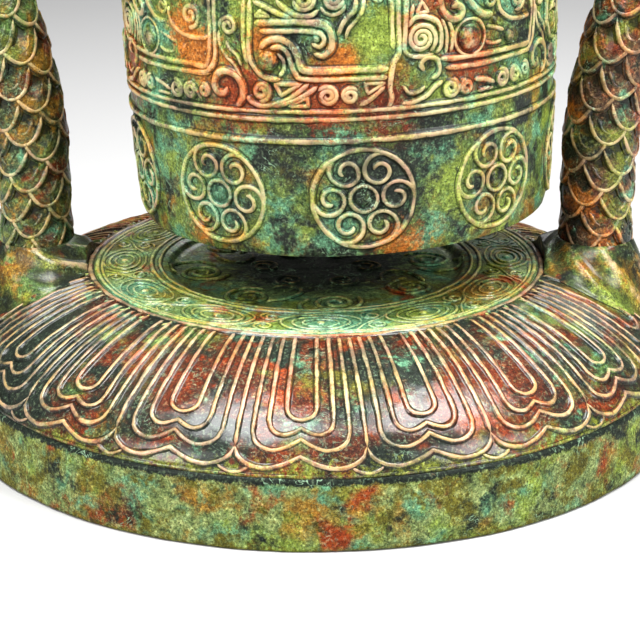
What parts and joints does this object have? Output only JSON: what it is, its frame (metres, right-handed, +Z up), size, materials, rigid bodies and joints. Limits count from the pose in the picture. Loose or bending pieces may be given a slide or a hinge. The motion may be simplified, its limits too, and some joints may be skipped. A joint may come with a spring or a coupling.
{
  "type": "bronze bell",
  "caption": "Round bronze bell hung from a cloud yoke between two rising dragons on a round lotus base, free to swing two ways, with a clapper.",
  "frame": {"origin": "centre of the base's underside, on the table", "axes": "+Z up along the bell's height, +X to the viewer's right through the two dragons, -Y towards the viewer"},
  "size_m": [0.3468, 0.28, 0.4071],
  "materials": {
    "green_bronze": "glossy mottled green and black patina, ridges rubbed to tan",
    "rust_bronze": "glossy red-brown and black patina, ridges rubbed to tan",
    "iron": "dark, satin, slightly rusted"
  },
  "bodies": {
    "stand": {"plinth_ring": "green_bronze", "lotus_dome": "rust_bronze", "altar_disc": "green_bronze", "bottom_cover": "green_bronze", "cover_screw_1": "iron", "cover_screw_2": "iron", "cover_screw_3": "iron", "cover_screw_4": "iron", "left_dragon_body": "green_bronze", "left_wave_foot": "rust_bronze", "left_foot_stud": "iron", "left_foot_washer": "iron", "left_foot_nut": "iron", "left_dragon_skull": "green_bronze", "left_dragon_jaw": "green_bronze", "left_mane": "rust_bronze", "left_front_horn": "green_bronze", "left_back_horn": "green_bronze", "left_yoke_pin": "iron", "right_dragon_body": "green_bronze", "right_wave_foot": "rust_bronze", "right_foot_stud": "iron", "right_foot_washer": "iron", "right_foot_nut": "iron", "right_dragon_skull": "green_bronze", "right_dragon_jaw": "green_bronze", "right_mane": "rust_bronze", "right_front_horn": "green_bronze", "right_back_horn": "green_bronze", "right_yoke_pin": "iron", "cloud_yoke": "green_bronze", "hanger_eye": "iron", "pearl_seat": "rust_bronze", "pearl": "rust_bronze", "flame_finial": "rust_bronze"},
    "ring": {"suspension_ring": "iron"},
    "bell": {"bell_shell": "green_bronze", "pulao_loop": "green_bronze", "clapper_staple": "iron", "staple_washer": "iron", "staple_nut": "iron", "staple_inner_washer": "iron"},
    "clapper": {"clapper_rod": "iron", "clapper_ball": "green_bronze"}
  },
  "joints": [
    {"name": "ring_swing", "type": "hinge", "parent": "stand", "child": "ring", "pos_m": [0.0032, 0, 0.31686], "axis": [0, 1, 0], "range_deg": [-1, 6]},
    {"name": "bell_swing", "type": "hinge", "parent": "ring", "child": "bell", "pos_m": [0.0038, 0, 0.29957], "axis": [0.9994, 0, 0.0349], "range_deg": [-15, 15]},
    {"name": "clapper_swing", "type": "hinge", "parent": "bell", "child": "clapper", "pos_m": [0.0053, 0, 0.25659], "axis": [0, 1, 0], "range_deg": [-27, 23]}
  ]
}
